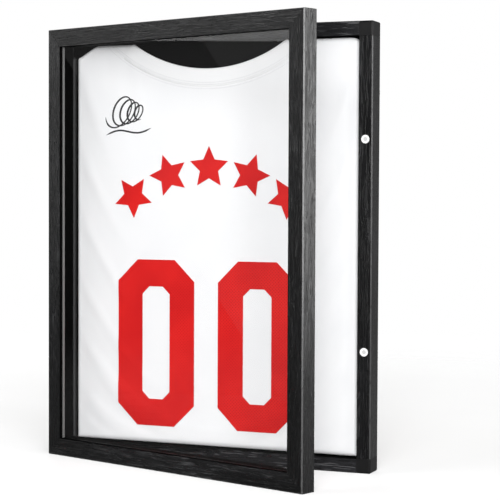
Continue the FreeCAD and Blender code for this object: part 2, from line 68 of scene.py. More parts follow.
class Wire:
    """One socket of a material's nodes, so that shader maths is written as sums and products."""

    def __init__(self, tree, socket=None):
        self.tree, self.socket = tree, socket

    def node(self, kind, values=(), out=0, **settings):
        """Adds a node: its settings first, then its sockets by name or number, and gives one output."""
        made = self.tree.nodes.new(kind if "Node" in kind else "ShaderNode" + kind)
        for name, value in settings.items():
            setattr(made, name, value)
        for name, value in dict(values).items():
            socket = made.inputs[name]
            if isinstance(value, Wire):
                self.tree.links.new(value.socket, socket)
            else:
                socket.default_value = value
        return Wire(self.tree, made.outputs[out]) if made.outputs else None

    def maths(self, operation, first, second=0.0):
        return self.node("Math", {0: first, 1: second}, operation=operation)

    def __add__(self, other):
        return self.maths("ADD", self, other)

    def __sub__(self, other):
        return self.maths("SUBTRACT", self, other)

    def __rsub__(self, other):
        return self.maths("SUBTRACT", other, self)

    def __mul__(self, other):
        return self.maths("MULTIPLY", self, other)

    def __abs__(self):
        return self.maths("ABSOLUTE", self)

    __radd__, __rmul__ = __add__, __mul__

    def sine(self):
        return self.maths("SINE", self)

    def larger(self, other):
        return self.maths("MAXIMUM", self, other)

    def between(self, low, high):
        """0 below low and 1 above high, smooth between."""
        values = {"Value": self, "From Min": low, "From Max": high}
        return self.node("MapRange", values, interpolation_type="SMOOTHSTEP", clamp=True)

    def blend(self, dark, light):
        """A colour from dark to light as this value goes from 0 to 1."""
        mix = self.tree.nodes.new("ShaderNodeMix")
        mix.data_type = "RGBA"
        self.tree.links.new(self.socket, mix.inputs[0])
        for socket, colour in ((mix.inputs[6], dark), (mix.inputs[7], light)):
            if isinstance(colour, Wire):
                self.tree.links.new(colour.socket, socket)
            else:
                socket.default_value = (*colour, 1)
        return Wire(self.tree, mix.outputs[2])


def new_finish(name):
    """A material and a wire to build its nodes with."""
    material = bpy.data.materials.new(name)
    material.use_nodes = True
    material.node_tree.nodes.clear()
    return material, Wire(material.node_tree)


def coat(wire, values, bump=None, bump_mm=0.2, strength=0.5):
    """A Principled shader, with its bump if it has one."""
    values = dict(values)
    if bump is not None:
        raised = {"Height": bump, "Strength": strength, "Distance": bump_mm / 1000}
        values["Normal"] = wire.node("Bump", raised)
    return wire.node("BsdfPrincipled", values)


def surface(wire, values, **bump):
    """The one Principled shader that makes a material."""
    wire.node("OutputMaterial", {"Surface": coat(wire, values, **bump)})


def place(wire, out="Object", turn=0.0, scale=(1, 1, 1)):
    """Object coordinates, or the object's normals, turned about Z and then scaled."""
    turned = wire.node("Mapping", {"Vector": wire.node("TexCoord", out=out), "Rotation": (0, 0, turn)})
    return wire.node("Mapping", {"Vector": turned, "Scale": scale})


def noise(wire, spot, scale, detail=3.0, roughness=0.55):
    """Soft random patches, from 0 to 1 but mostly near 0.5."""
    values = {"Vector": spot, "Scale": scale, "Detail": detail, "Roughness": roughness}
    return wire.node("TexNoise", values)


def mesh_piece(name, points, faces, material):
    """A smooth-shaded object whose place is in its mesh."""
    mesh = bpy.data.meshes.new(name)
    mesh.from_pydata([tuple(p) for p in points], [], faces)
    mesh.polygons.foreach_set("use_smooth", [True] * len(mesh.polygons))
    mesh.materials.append(material)
    piece = bpy.data.objects.new(name, mesh)
    bpy.context.scene.collection.objects.link(piece)
    return piece


floor_paint, wire = new_finish("studio_floor")
FLOOR_REACH, FLOOR_FADE, FLOOR_DROP, FLOOR_CLEAR = 6.0, (0.7, 3.0), 0.0002, 0.4
spot = place(wire)
away = wire.node("VectorMath", {0: spot}, out="Value", operation="LENGTH").between(*FLOOR_FADE)
mottle = noise(wire, spot, 1.5).between(0.3, 0.7)
seen = wire.node("LightPath", out="Is Camera Ray")
paint = seen.blend((0.30, 0.30, 0.30), mottle.blend((0.93, 0.93, 0.93), (0.95, 0.95, 0.95)))
matt = wire.node("BsdfDiffuse", {"Color": paint, "Roughness": 0.5})
gone = wire.node("BsdfTransparent", {"Color": (1, 1, 1, 1)})
fading = away * (1 - FLOOR_CLEAR) + FLOOR_CLEAR
wire.node("OutputMaterial", {"Surface": wire.node("MixShader", {0: fading, 1: matt, 2: gone})})
corners = [(x * FLOOR_REACH, y * FLOOR_REACH) for x, y in ((-1, -1), (1, -1), (1, 1), (-1, 1))]
floor_at = [(x, y, cad_low.z - FLOOR_DROP) for x, y in corners]
mesh_piece("floor", floor_at, [(0, 1, 2, 3)], floor_paint)

ROOM_DIM, ROOM_BRIGHT, ROOM_SIDE = 0.02, 0.45, (0.95, -0.05, 0.30)
room = bpy.data.worlds.new("room")
bpy.context.scene.world = room
room.use_nodes = True
room.node_tree.nodes.clear()
wire = Wire(room.node_tree)
seen = wire.node("LightPath", out="Is Camera Ray")
way = wire.node("TexCoord", out="Generated")
facing = wire.node("VectorMath", {0: way, 1: ROOM_SIDE}, out="Value", operation="DOT_PRODUCT")
strength = facing.between(-0.3, 0.9) * (ROOM_BRIGHT - ROOM_DIM) + ROOM_DIM
glow = wire.node("Background", {"Color": (1, 1, 1, 1), "Strength": seen.larger(strength)})
wire.node("OutputWorld", {"Surface": glow})


def lamp(name, at, towards, size, watts, spin=0.0):
    """A soft rectangular lamp that faces a point, spun about the line to it."""
    light = bpy.data.lights.new(name, "AREA")
    light.shape = "RECTANGLE"
    light.size, light.size_y = size
    light.energy = watts
    holder = bpy.data.objects.new(name, light)
    bpy.context.scene.collection.objects.link(holder)
    facing = (Vector(towards) - Vector(at)).to_track_quat("-Z", "Y").to_matrix().to_4x4()
    holder.matrix_world = Matrix.Translation(at) @ facing @ Matrix.Rotation(spin, 4, "Z")


MIDDLE = Vector((0, 0, cad_high.z / 2))
for name, at, size, watts in (
    ("key_lamp", (2.0, -3.6, 0.95), (2.2, 1.8), 112),
    ("front_lamp", (0.9, -4.2, 0.7), (1.6, 1.2), 66),
    ("left_lamp", (-3.3, -0.6, 1.0), (0.6, 1.8), 9),
    ("back_lamp", (-1.8, 3.2, 2.2), (1.6, 1.2), 100),
    ("high_lamp", (-2.4, -1.9, 2.5), (2.2, 1.0), 36),
    ("side_lamp", (3.3, 1.8, 0.75), (1.3, 1.5), 30),
    ("edge_lamp", (3.6, -1.5, 1.2), (0.5, 1.6), 26),
):
    lamp(name, at, MIDDLE, size, watts)
SLANT, SLANTED_WAY, LEVEL_WAY = math.radians(32.5), (0.88, 0.47, 0.03), (0.87, 0.48, -0.09)
for name, at, way, size, watts, spin in (
    ("wide_panel", (-2.57, -1.70, 1.30), SLANTED_WAY, (1.3, 3.0), 2.4, SLANT),
    ("narrow_panel", (-2.37, -2.02, 1.26), SLANTED_WAY, (1.0, 3.0), 1.8, SLANT),
    ("level_panel", (-2.12, -1.27, 1.031), LEVEL_WAY, (0.9, 0.1), 0.58, 0.0),
):
    lamp(name, at, Vector(at) + Vector(way), size, watts, spin)

view = bpy.data.cameras.new("camera")
view.lens, view.sensor_width = 116.85, 36.0
camera = bpy.data.objects.new("camera", view)
bpy.context.scene.collection.objects.link(camera)
bpy.context.scene.camera = camera
CAMERA_AT = (1.19939, -2.74104, 0.50127)
YAW, DOWN, TILT = (math.radians(a) for a in (22.39, 2.11, 0.248))
level = Matrix.Rotation(YAW, 4, "Z") @ Matrix.Rotation(math.pi / 2 - DOWN, 4, "X")
camera.matrix_world = Matrix.Translation(CAMERA_AT) @ level @ Matrix.Rotation(TILT, 4, "Z")
bpy.context.scene.view_settings.view_transform = "Standard"


# Box: two stiles and two rails of wood moulding wrapped in black foil, embossed with a long wavy grain along
# each piece and worn smooth on its outer edges, which are also painted lighter as a painted highlight. The
# foil stops at the inner wall, which is painted near-black as painted shade and polished on the stiles.
# Square moulded corner blocks join them on hidden spigots.

INWARD = {"left": (1, 0, 0), "right": (-1, 0, 0), "bottom": (0, 0, 1), "top": (0, 0, -1)}

DULL, POLISHED = (0.8, 0.01), (0.04, 1.0)


def foil(name, side, emboss_mm, rough, turn=0.0, painted_light_tone=1.0, inner=DULL):
    """The foil of the piece at one side. Its grain runs along the piece and its colours are scaled by a
    painted-light tone; its edges are worn and painted lighter as a highlight, and its inner wall is painted
    near-black as painted shade.
    """
    grey = (0.010 * painted_light_tone, 0.010 * painted_light_tone, 0.011 * painted_light_tone)
    pale = (0.045 * painted_light_tone, 0.045 * painted_light_tone, 0.047 * painted_light_tone)
    inner_rough, inner_gloss = inner
    material, wire = new_finish(name)
    spot = place(wire, turn=turn)
    along = (0, 0, 1) if INWARD[side][0] else (1, 0, 0)
    across = [1 - a for a in along]

    def stretched(vector, length_scale, cross_scale):
        """Coordinates drawn out along the grain."""
        scale = [length_scale * a + cross_scale * b for a, b in zip(along, across)]
        return wire.node("Mapping", {"Vector": vector, "Scale": scale})

    sway = noise(wire, stretched(spot, 9, 30), 1.0, 2.0) * 0.016
    sideways = wire.node("CombineXYZ", {i: sway for i in range(3) if across[i]})
    bent = wire.node("VectorMath", {0: spot, 1: sideways}, operation="ADD")
    pores = abs(noise(wire, stretched(bent, 9, 210), 1.0, 2.0) - 0.5).between(0.004, 0.05)
    lines = noise(wire, stretched(bent, 22, 900), 1.0, 1.0).between(0.36, 0.64)
    flecks = noise(wire, stretched(bent, 20, 430), 1.0, 1.0).between(0.58, 0.66)
    patches = noise(wire, stretched(spot, 5, 24), 1.0, 2.0).between(0.35, 0.7)
    relief = pores * 0.7 + lines * 0.3
    facing = place(wire, "Normal", turn)
    axes = [abs(wire.node("SeparateXYZ", {0: facing}, out=axis)) for axis in "XYZ"]
    edge = 1 - axes[0].larger(axes[1]).larger(axes[2])
    inward = wire.node("VectorMath", {0: facing, 1: INWARD[side]}, out="Value", operation="DOT_PRODUCT")
    # Rubbed patches on the outer edges and chamfers: worn smoother and flatter, and painted lighter as a
    # painted highlight.
    rubbed_wear_and_highlight = noise(wire, spot, 60.0, 4.0, 0.7).between(0.25, 0.5) * (1 - inward.between(-0.5, -0.1))
    wear_and_painted_highlight = edge.between(0.05, 0.22) * rubbed_wear_and_highlight
    ground = (relief * (0.2 + 0.8 * patches)).blend((0.0006, 0.0006, 0.0007), grey)
    grain = (flecks * patches).blend(ground, pale)
    foiled = coat(
        wire,
        {
            "Base Color": wear_and_painted_highlight.blend(grain, (0.055, 0.055, 0.056)),
            "Roughness": rough - 0.10 * relief - 0.04 * wear_and_painted_highlight,
            "Specular IOR Level": 0.5,
        },
        bump=relief * (1 - wear_and_painted_highlight),
        bump_mm=emboss_mm,
        strength=0.6,
    )
    fibres = noise(wire, stretched(spot, 60, 900), 1.0, 2.0)
    # The inner wall is painted near-black as painted shade. It is polished on the box stiles and dull
    # elsewhere.
    painted_shade_wall = coat(
        wire,
        {
            "Base Color": fibres.blend((0.0008, 0.0008, 0.0008), (0.003, 0.003, 0.003)),
            "Roughness": inner_rough + 0.1 * fibres,
            "Specular IOR Level": inner_gloss,
        },
        bump=fibres,
        bump_mm=0.02,
    )
    whole = wire.node("MixShader", {0: inward.between(0.35, 0.6), 1: foiled, 2: painted_shade_wall})
    wire.node("OutputMaterial", {"Surface": whole})
    return material


def finish(node, material):
    """Gives a CAD node its material."""
    mesh = nodes[node].data
    mesh.materials.clear()
    mesh.materials.append(material)


# The box rails' foil is painted 2.2 times lighter than the stiles' foil, as painted light.
BOX_FOIL, BOX_RAIL_PAINTED_LIGHT = (0.09, 0.32), 2.2
for side in ("left", "right"):
    finish(f"box_{side}_stile", foil(f"box_foil_{side}", side, *BOX_FOIL, inner=POLISHED))
for side in ("bottom", "top"):
    finish(f"box_{side}_rail", foil(f"box_foil_{side}", side, *BOX_FOIL, painted_light_tone=BOX_RAIL_PAINTED_LIGHT))

corner_plastic, wire = new_finish("corner_plastic")
spot = place(wire)
pebble = noise(wire, spot, 900.0, 2.0)
scuff = noise(wire, spot, 30.0, 4.0, 0.7).between(0.45, 0.8)
surface(
    wire,
    {
        "Base Color": scuff.blend((0.0045, 0.0043, 0.0046), (0.009, 0.0087, 0.009)),
        "Roughness": 0.33 + 0.12 * pebble,
        "Specular IOR Level": 0.26,
    },
    bump=pebble,
    bump_mm=0.05,
    strength=0.4,
)
for end in ("bottom", "top"):
    for side in ("left", "right"):
        finish(f"corner_block_{end}_{side}", corner_plastic)


# Back: a sheet of hardboard, its smooth face outwards, let into the rebate and held by ten screws, and the
# foam board faced with black felt that lies on it.

hardboard, wire = new_finish("hardboard")
spot = place(wire)
drawn_out = wire.node("Mapping", {"Vector": spot, "Scale": (1, 1, 0.4)})
fibres = noise(wire, drawn_out, 420.0, 5.0, 0.7)
blotches = noise(wire, spot, 14.0, 4.0, 0.6)
brown = fibres.between(0.3, 0.75).blend((0.085, 0.048, 0.026), (0.19, 0.115, 0.062))
surface(
    wire,
    {
        "Base Color": blotches.between(0.3, 0.8).blend(brown, (0.15, 0.088, 0.047)),
        "Roughness": 0.62 + 0.2 * fibres,
    },
    bump=fibres,
    bump_mm=0.08,
    strength=0.5,
)
finish("back_panel", hardboard)

black_felt, wire = new_finish("black_felt")
spot = place(wire)
nap = noise(wire, spot, 1300.0, 3.0, 0.7)
worn_nap = nap * 0.7 + noise(wire, spot, 24.0, 3.0) * 0.3
surface(
    wire,
    {
        "Base Color": worn_nap.between(0.3, 0.8).blend((0.0005, 0.0005, 0.0005), (0.002, 0.002, 0.0022)),
        "Roughness": 0.95,
        "Specular IOR Level": 0.03,
        "Sheen Weight": 0.03,
        "Sheen Roughness": 0.6,
    },
    bump=nap,
    bump_mm=0.4,
    strength=0.7,
)
finish("lining_board", black_felt)


def steel(name, dark, light, rough, grit=700.0, metal=1.0):
    """Plated or painted steel with a fine grit and faint cloudy patches."""
    material, wire = new_finish(name)
    spot = place(wire)
    grain = noise(wire, spot, grit, 2.0)
    patches = noise(wire, spot, 90.0, 3.0, 0.6)
    surface(
        wire,
        {
            "Base Color": patches.between(0.3, 0.75).blend(dark, light),
            "Roughness": rough + 0.12 * grain,
            "Metallic": metal,
        },
        bump=grain,
        bump_mm=0.03,
        strength=0.35,
    )
    return material


zinc_steel = steel("zinc_steel", (0.50, 0.49, 0.46), (0.66, 0.65, 0.62), 0.26)
black_steel = steel("black_steel", (0.012, 0.012, 0.013), (0.02, 0.02, 0.021), 0.34, 1100.0, 0.0)
finish("back_panel_screws", zinc_steel)


# Catches: two flanged white plastic cups pressed into the box's right stile, each round a nickel-plated
# magnet whose face is painted a plain light grey that stands in for the reflection on its plating: a painted
# reflection.

catch_plastic, wire = new_finish("white_plastic")
spot = place(wire)
flow = noise(wire, spot, 160.0, 2.0)
surface(
    wire,
    {"Base Color": flow.blend((0.86, 0.86, 0.86), (0.93, 0.93, 0.93)), "Roughness": 0.3 + 0.12 * flow},
    bump=noise(wire, spot, 1500.0, 1.0),
    bump_mm=0.02,
    strength=0.3,
)
magnet_enamel = steel("magnet_enamel", (0.50, 0.50, 0.50), (0.62, 0.62, 0.61), 0.30, metal=0.0)
for level in ("lower", "upper"):
    finish(f"catch_housing_{level}", catch_plastic)
    finish(f"catch_magnet_{level}", magnet_enamel)


# Hinges: three butt hinges between the left stiles, with leaves of steel painted black, zinc-plated pins and
# black countersunk screws.

for level in ("lower", "middle", "upper"):
    finish(f"hinge_box_leaf_{level}", black_steel)
    finish(f"hinge_door_leaf_{level}", black_steel)
    finish(f"hinge_pin_{level}", zinc_steel)
for node in ("hinge_box_screws", "hinge_door_screws"):
    finish(node, black_steel)


# Door: a mitred frame of the same foiled moulding, standing open on its hinges, so the grain is turned by
# the angle that it stands at. A clear acrylic pane sits in its groove in front of vinyl glazing beads, which
# are grey along the stiles and black along the rails.

pin_low, pin_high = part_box("hinge_pin_middle")
strike_low, strike_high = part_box("strike_lower")
from_pin = (strike_low + strike_high - pin_low - pin_high) / 2
DOOR_TURN = math.atan2(-from_pin.y, from_pin.x)
DOOR_FOIL = (0.36, 0.36)
# The door's right stile and top rail have their foil painted darker, as painted shade.
for side, piece, painted_light_tone in (
    ("left", "stile", 1.0), ("right", "stile", 0.4), ("bottom", "rail", 1.0), ("top", "rail", 0.6),
):
    finish(f"door_{side}_{piece}", foil(f"door_foil_{side}", side, *DOOR_FOIL, DOOR_TURN, painted_light_tone))

acrylic, wire = new_finish("acrylic")
gloss = wire.node("BsdfGlossy", {"Color": (1, 1, 1, 1), "Roughness": 0.0})
clear = wire.node("BsdfTransparent", {"Color": (0.995, 0.995, 0.995, 1)})
mirror = wire.node("Fresnel", {"IOR": 1.45}) * (1 - wire.node("NewGeometry", out="Backfacing"))
wire.node("OutputMaterial", {"Surface": wire.node("MixShader", {0: mirror, 1: clear, 2: gloss})})
finish("pane", acrylic)


def vinyl(name, scale, dark, light, gloss):
    """Extruded vinyl with fine lines drawn out along it."""
    material, wire = new_finish(name)
    drawn = noise(wire, place(wire, turn=DOOR_TURN, scale=scale), 1.0, 2.0)
    surface(
        wire,
        {
            "Base Color": drawn.blend(dark, light),
            "Roughness": 0.45 + 0.1 * drawn,
            "Specular IOR Level": gloss,
        },
        bump=drawn,
        bump_mm=0.04,
        strength=0.3,
    )
    return material


grey_vinyl = vinyl("grey_vinyl", (900, 900, 20), (0.15, 0.15, 0.15), (0.21, 0.21, 0.205), 0.4)
black_vinyl = vinyl("black_vinyl", (20, 900, 900), (0.002, 0.002, 0.002), (0.006, 0.006, 0.006), 0.02)
for side in INWARD:
    finish(f"glazing_bead_{side}", grey_vinyl if INWARD[side][0] else black_vinyl)


# Strikes: two round zinc-plated steel plates that the catches hold, let into the back of the door's right
# stile, each fixed with a black countersunk screw. V-nails of zinc-plated steel hold the door's mitres.

for node in ("strike_lower", "strike_upper", "door_corner_nails"):
    finish(node, zinc_steel)
finish("strike_screws", black_steel)


# Jersey body: white mesh-knit polyester pulled over the insert board, a little slack so that it waves. It
# rolls round the board's edges and is tucked in behind it. Under the collar it only just turns back.

jersey_low, jersey_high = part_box("jersey")
ROLL, NECK_ROLL, TUCK, CLOTH_THICK = 0.008, 0.002, 0.022, 0.0007
NECK_X, NECK_RADIUS, NECK_LOW = -0.010, 0.265, 0.723
NECK_Z = NECK_LOW + NECK_RADIUS
LEFT_SLOPE, RIGHT_SLOPE = (0.040, 0.024), (0.010, 0.008)
CELL = 0.008
ON_NECK, NECK_REACH, NECK_FROM, SLOPE_SHARE = 1e-6, 0.15, 0.7, 1.2
FIRST_TURN, NECK_TURN = 0.0006, 0.001


def neckline(x):
    """How high the neckline is at x, or None beside it."""
    reach = NECK_RADIUS**2 - (x - NECK_X) ** 2
    return NECK_Z - math.sqrt(reach) if reach > 0 else None


def cloth_top(x):
    """How high the cloth reaches at x: sloped shoulders and the round neck."""
    top = jersey_high.z
    for inner, (wide, drop) in ((x - jersey_low.x, LEFT_SLOPE), (jersey_high.x - x, RIGHT_SLOPE)):
        if inner < wide:
            top = min(top, jersey_high.z - drop * (1 - inner / wide))
    neck = neckline(x)
    return min(top, neck) if neck is not None else top


def spaced(length):
    """Distances across the cloth: close together round the rolled edges, even in between."""
    edge = [ROLL * (1 - math.cos(math.radians(a))) for a in range(0, 91, 18)]
    count = round((length - 2 * ROLL) / CELL)
    middle = [ROLL + (length - 2 * ROLL) * i / count for i in range(1, count)]
    return edge + middle + [length - e for e in reversed(edge)]


def rolled(distance, radius):
    """How far the cloth has dropped back at this distance in from its edge."""
    if distance >= radius:
        return 0.0
    return radius - math.sqrt(max(0.0, radius**2 - (radius - distance) ** 2))


xs = [jersey_low.x + d for d in spaced(jersey_high.x - jersey_low.x)]
tall = jersey_high.z - jersey_low.z
shares = spaced(tall)
points = []
for share in shares:
    for x in xs:
        top = cloth_top(x)
        under_neck = neckline(x) is not None and abs(top - neckline(x)) < ON_NECK
        squeeze = (top - jersey_low.z - 2 * ROLL) / (tall - 2 * ROLL)
        if share <= ROLL:
            z = jersey_low.z + share
        elif share >= tall - ROLL:
            z = top - (tall - share)
        else:
            z = jersey_low.z + ROLL + (share - ROLL) * squeeze
        upper = rolled(top - z, NECK_ROLL if under_neck else ROLL)
        sides = rolled(min(x - jersey_low.x, jersey_high.x - x), ROLL)
        lower = rolled(z - jersey_low.z, ROLL)
        points.append(Vector((x, jersey_low.y + max(upper, sides, lower), z)))
wide, high = len(xs), len(shares)
faces = [
    (r * wide + c, r * wide + c + 1, (r + 1) * wide + c + 1, (r + 1) * wide + c)
    for r in range(high - 1)
    for c in range(wide - 1)
]
rim = list(range(wide))
rim += [r * wide + wide - 1 for r in range(1, high)]
rim += [(high - 1) * wide + c for c in reversed(range(wide - 1))]
rim += [r * wide for r in reversed(range(1, high - 1))]
back = jersey_high.y - CLOTH_THICK / 2
last_ring = rim
for depth in (FIRST_TURN, TUCK):
    ring = []
    for index in rim:
        p = points[index]
        x = min(max(p.x, jersey_low.x + depth), jersey_high.x - depth)
        top = cloth_top(x)
        under_neck = top < jersey_high.z - LEFT_SLOPE[1] * SLOPE_SHARE
        under_neck = under_neck or (abs(x - NECK_X) < NECK_REACH and p.z > NECK_FROM)
        z = min(max(p.z, jersey_low.z + depth), top - depth)
        y = p.y + NECK_TURN if under_neck and p.z > jersey_low.z + tall / 2 else back
        points.append(Vector((x, y, z)))
        ring.append(len(points) - 1)
    for i in range(len(rim)):
        j = (i + 1) % len(rim)
        faces.append((last_ring[j], last_ring[i], ring[i], ring[j]))
    last_ring = ring

knit, wire = new_finish("jersey_knit")
spot = wire.node("TexCoord", out="Object")
across = wire.node("SeparateXYZ", {0: spot}, out="X")
upward = wire.node("SeparateXYZ", {0: spot}, out="Z")
EYELET = 0.0026
wale = (across * (2 * math.pi / EYELET)).sine()
course = (upward * (2 * math.pi / EYELET)).sine()
eyelets = (wale * course).between(0.35, 0.8)
yarn = noise(wire, spot, 2400.0, 2.0)
# The eyelets are painted darker than the knit round them, as painted shade in the holes; broad patches vary
# the white at random.
eyelet_shade_and_tone = eyelets * 0.3 + noise(wire, spot, 11.0, 3.0).between(0.35, 0.8) * 0.35
surface(
    wire,
    {
        "Base Color": eyelet_shade_and_tone.blend((0.87, 0.875, 0.885), (0.80, 0.81, 0.83)),
        "Roughness": 0.78 + 0.1 * yarn,
        "Specular IOR Level": 0.25,
        "Sheen Weight": 0.15,
        "Sheen Roughness": 0.4,
    },
    bump=yarn * 0.4 - eyelets,
    bump_mm=0.12,
    strength=0.35,
)
jersey = mesh_piece("jersey_body", points, faces, knit)


def tidy(piece, gap=0.00005):
    """Merges doubled points and turns every face outwards."""
    shape = bmesh.new()
    shape.from_mesh(piece.data)
    bmesh.ops.remove_doubles(shape, verts=shape.verts, dist=gap)
    bmesh.ops.recalc_face_normals(shape, faces=shape.faces)
    shape.to_mesh(piece.data)
    shape.free()


def settled(piece):
    """The mesh with its modifiers applied, which are then removed."""
    graph = bpy.context.evaluated_depsgraph_get()
    mesh = bpy.data.meshes.new_from_object(piece.evaluated_get(graph))
    piece.modifiers.clear()
    piece.data = mesh
    return piece


tidy(jersey)
GROWTH, SLACK_FRONT, SLACK_BACK, STEPS = 0.0016, 0.0014, 0.0005, 24
FIRST_WAVE, WAVES_PER_METRE, FLAT_WITHIN = 0.0003, 14, 0.0001
before = [v.co.copy() for v in jersey.data.vertices]
rolled_edge = {v.index for v in jersey.data.vertices if v.co.y > jersey_low.y + FLAT_WITHIN}
jersey.vertex_groups.new(name="held").add(list(rolled_edge), 1.0, "REPLACE")
for point in jersey.data.vertices:
    if point.index not in rolled_edge:
        point.co.y += FIRST_WAVE * mathutils.noise.noise(point.co * WAVES_PER_METRE)
hang = jersey.modifiers.new("hang", "CLOTH")
hang.settings.quality = 6
hang.settings.mass = 0.12
hang.settings.tension_stiffness = hang.settings.compression_stiffness = 20
hang.settings.shear_stiffness = 6
hang.settings.bending_stiffness = 0.4
hang.settings.vertex_group_mass = "held"
hang.settings.shrink_min = -GROWTH
for step in range(1, STEPS + 1):
    bpy.context.scene.frame_set(step)
settled(jersey)
bpy.context.scene.frame_set(1)
jersey.vertex_groups.clear()
for point, start in zip(jersey.data.vertices, before):
    move = point.co - start
    point.co = start + Vector((0, min(SLACK_BACK, max(-SLACK_FRONT, move.y)), 0))
smooth = jersey.modifiers.new("smooth", "SUBSURF")
smooth.levels = smooth.render_levels = 1
settled(jersey)
ground = bmesh.new()
ground.from_mesh(jersey.data)
cloth_tree = BVHTree.FromBMesh(ground)
ground.free()


def on_cloth(x, z, proud=0.0):
    """The point of the cloth's front at x and z, a little proud of it."""
    hit = cloth_tree.ray_cast(Vector((x, -1.0, z)), Vector((0, 1, 0)))[0]
    y = hit.y if hit is not None else jersey_low.y
    return Vector((x, y - proud, z))


thick = jersey.modifiers.new("thickness", "SOLIDIFY")
thick.thickness, thick.offset = CLOTH_THICK, -1.0
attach(jersey, "box")
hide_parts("jersey")


# Collar: a band of rib knit, folded double over the raw edge of the neck. It is sewn down with two rows of
# stitches along the band and one on the body beside it.

COLLAR_WIDE, COLLAR_THICK = 0.032, 0.0011
COLLAR_SPAN = math.acos((NECK_Z - jersey_high.z) / NECK_RADIUS)
rib, wire = new_finish("collar_rib")
spot = wire.node("UVMap")
RIB_PITCH = 0.0024
ribs_across = wire.node("SeparateXYZ", {0: spot}, out="X") * (2 * math.pi / RIB_PITCH)
ribs = ribs_across.sine().between(-0.6, 0.6)
fluff = noise(wire, wire.node("TexCoord", out="Object"), 1800.0, 2.0)
# The rib grooves are painted a little darker than the ridges, as painted shade in the grooves.
surface(
    wire,
    {
        "Base Color": ribs.blend((0.87, 0.875, 0.885), (0.91, 0.915, 0.92)),
        "Roughness": 0.8 + 0.1 * fluff,
        "Specular IOR Level": 0.25,
        "Sheen Weight": 0.15,
        "Sheen Roughness": 0.4,
    },
    bump=ribs + fluff * 0.3,
    bump_mm=0.15,
    strength=0.4,
)
COLLAR_PROFILE = [
    (0.0035, 0.0042), (-0.0002, 0.0038), (-0.0012, 0.0024), (-0.0014, 0.0010), (-0.0006, -0.0004),
    (0.0010, -COLLAR_THICK), (0.0040, -COLLAR_THICK * 1.15), (0.012, -COLLAR_THICK * 1.2),
    (0.022, -COLLAR_THICK * 1.15), (COLLAR_WIDE - 0.0015, -COLLAR_THICK), (COLLAR_WIDE, -0.0005),
    (COLLAR_WIDE + 0.0002, 0.0002),
]
COLLAR_STEPS, CLOTH_FROM = 90, 0.003


def round_neck(out, angle):
    """Where a line out from the neck's centre is, this far outside the neck's edge."""
    radius = NECK_RADIUS + out
    return NECK_X + radius * math.sin(angle), NECK_Z - radius * math.cos(angle)


points, faces, lengths = [], [], []
for step in range(COLLAR_STEPS + 1):
    angle = COLLAR_SPAN * (2 * step / COLLAR_STEPS - 1)
    for out, proud in COLLAR_PROFILE:
        x, z = round_neck(out, angle)
        cloth = on_cloth(*round_neck(max(out, CLOTH_FROM), angle))
        points.append(Vector((x, cloth.y + proud, min(z, jersey_high.z))))
        lengths.append((NECK_RADIUS * angle, out))
rows = len(COLLAR_PROFILE)
for step in range(COLLAR_STEPS):
    for row in range(rows - 1):
        a = step * rows + row
        faces.append((a, a + 1, a + rows + 1, a + rows))
collar = mesh_piece("jersey_collar", points, faces, rib)
chart = collar.data.uv_layers.new(name="along_neck")
for loop in collar.data.loops:
    chart.data[loop.index].uv = lengths[loop.vertex_index]
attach(collar, "box")


def stitch_tree():
    """Geometry nodes that sew a row of stitches along every line of a mesh."""
    tree = bpy.data.node_groups.new("stitches", "GeometryNodeTree")
    sockets = tree.interface
    sockets.new_socket("Line", in_out="INPUT", socket_type="NodeSocketGeometry")
    for name in ("Spacing", "Length", "Thickness", "Run", "Zigzag", "Unevenness"):
        sockets.new_socket(name, in_out="INPUT", socket_type="NodeSocketFloat")
    sockets.new_socket("Seed", in_out="INPUT", socket_type="NodeSocketInt")
    sockets.new_socket("Thread", in_out="INPUT", socket_type="NodeSocketMaterial")
    sockets.new_socket("Stitches", in_out="OUTPUT", socket_type="NodeSocketGeometry")
    wire = Wire(tree)

    def asked(name):
        return wire.node("NodeGroupInput", out=name)

    line = wire.node("GeometryNodeMeshToCurve", {"Mesh": asked("Line")})
    steps = {"Curve": line, "Length": asked("Spacing")}
    spaced_out = wire.node("GeometryNodeResampleCurve", steps, mode="LENGTH")
    along = wire.node("GeometryNodeInputTangent")
    sideways = wire.node("VectorMath", {0: along, 1: (0, -1, 0)}, operation="CROSS_PRODUCT")
    turn_about = 1 - 2 * wire.node("GeometryNodeInputIndex").maths("MODULO", 2)
    uneven = wire.node(
        "FunctionNodeRandomValue",
        {2: asked("Unevenness") * -1, 3: asked("Unevenness"), "Seed": asked("Seed")},
        out=1,
    )
    forward = wire.node("VectorMath", {0: along, "Scale": asked("Run")}, operation="SCALE")
    crossing = asked("Zigzag") * turn_about + uneven
    across = wire.node("VectorMath", {0: sideways, "Scale": crossing}, operation="SCALE")
    thread_way = wire.node("VectorMath", {0: forward, 1: across}, operation="ADD")
    size = {"X": asked("Thickness"), "Y": asked("Thickness"), "Z": asked("Length")}
    sewn = wire.node(
        "GeometryNodeInstanceOnPoints",
        {
            "Points": spaced_out,
            "Instance": wire.node("GeometryNodeMeshIcoSphere", {"Radius": 0.5, "Subdivisions": 1}),
            "Rotation": wire.node("FunctionNodeAlignRotationToVector", {"Vector": thread_way}, axis="Z"),
            "Scale": wire.node("CombineXYZ", size),
        },
    )
    real = wire.node("GeometryNodeRealizeInstances", {"Geometry": sewn})
    soft = wire.node("GeometryNodeSetShadeSmooth", {0: real})
    dyed = wire.node("GeometryNodeSetMaterial", {"Geometry": soft, "Material": asked("Thread")})
    wire.node("NodeGroupOutput", {0: dyed})
    return tree


STITCHES, SEWING_SEED, BELOW_TOP = stitch_tree(), 7, 0.003


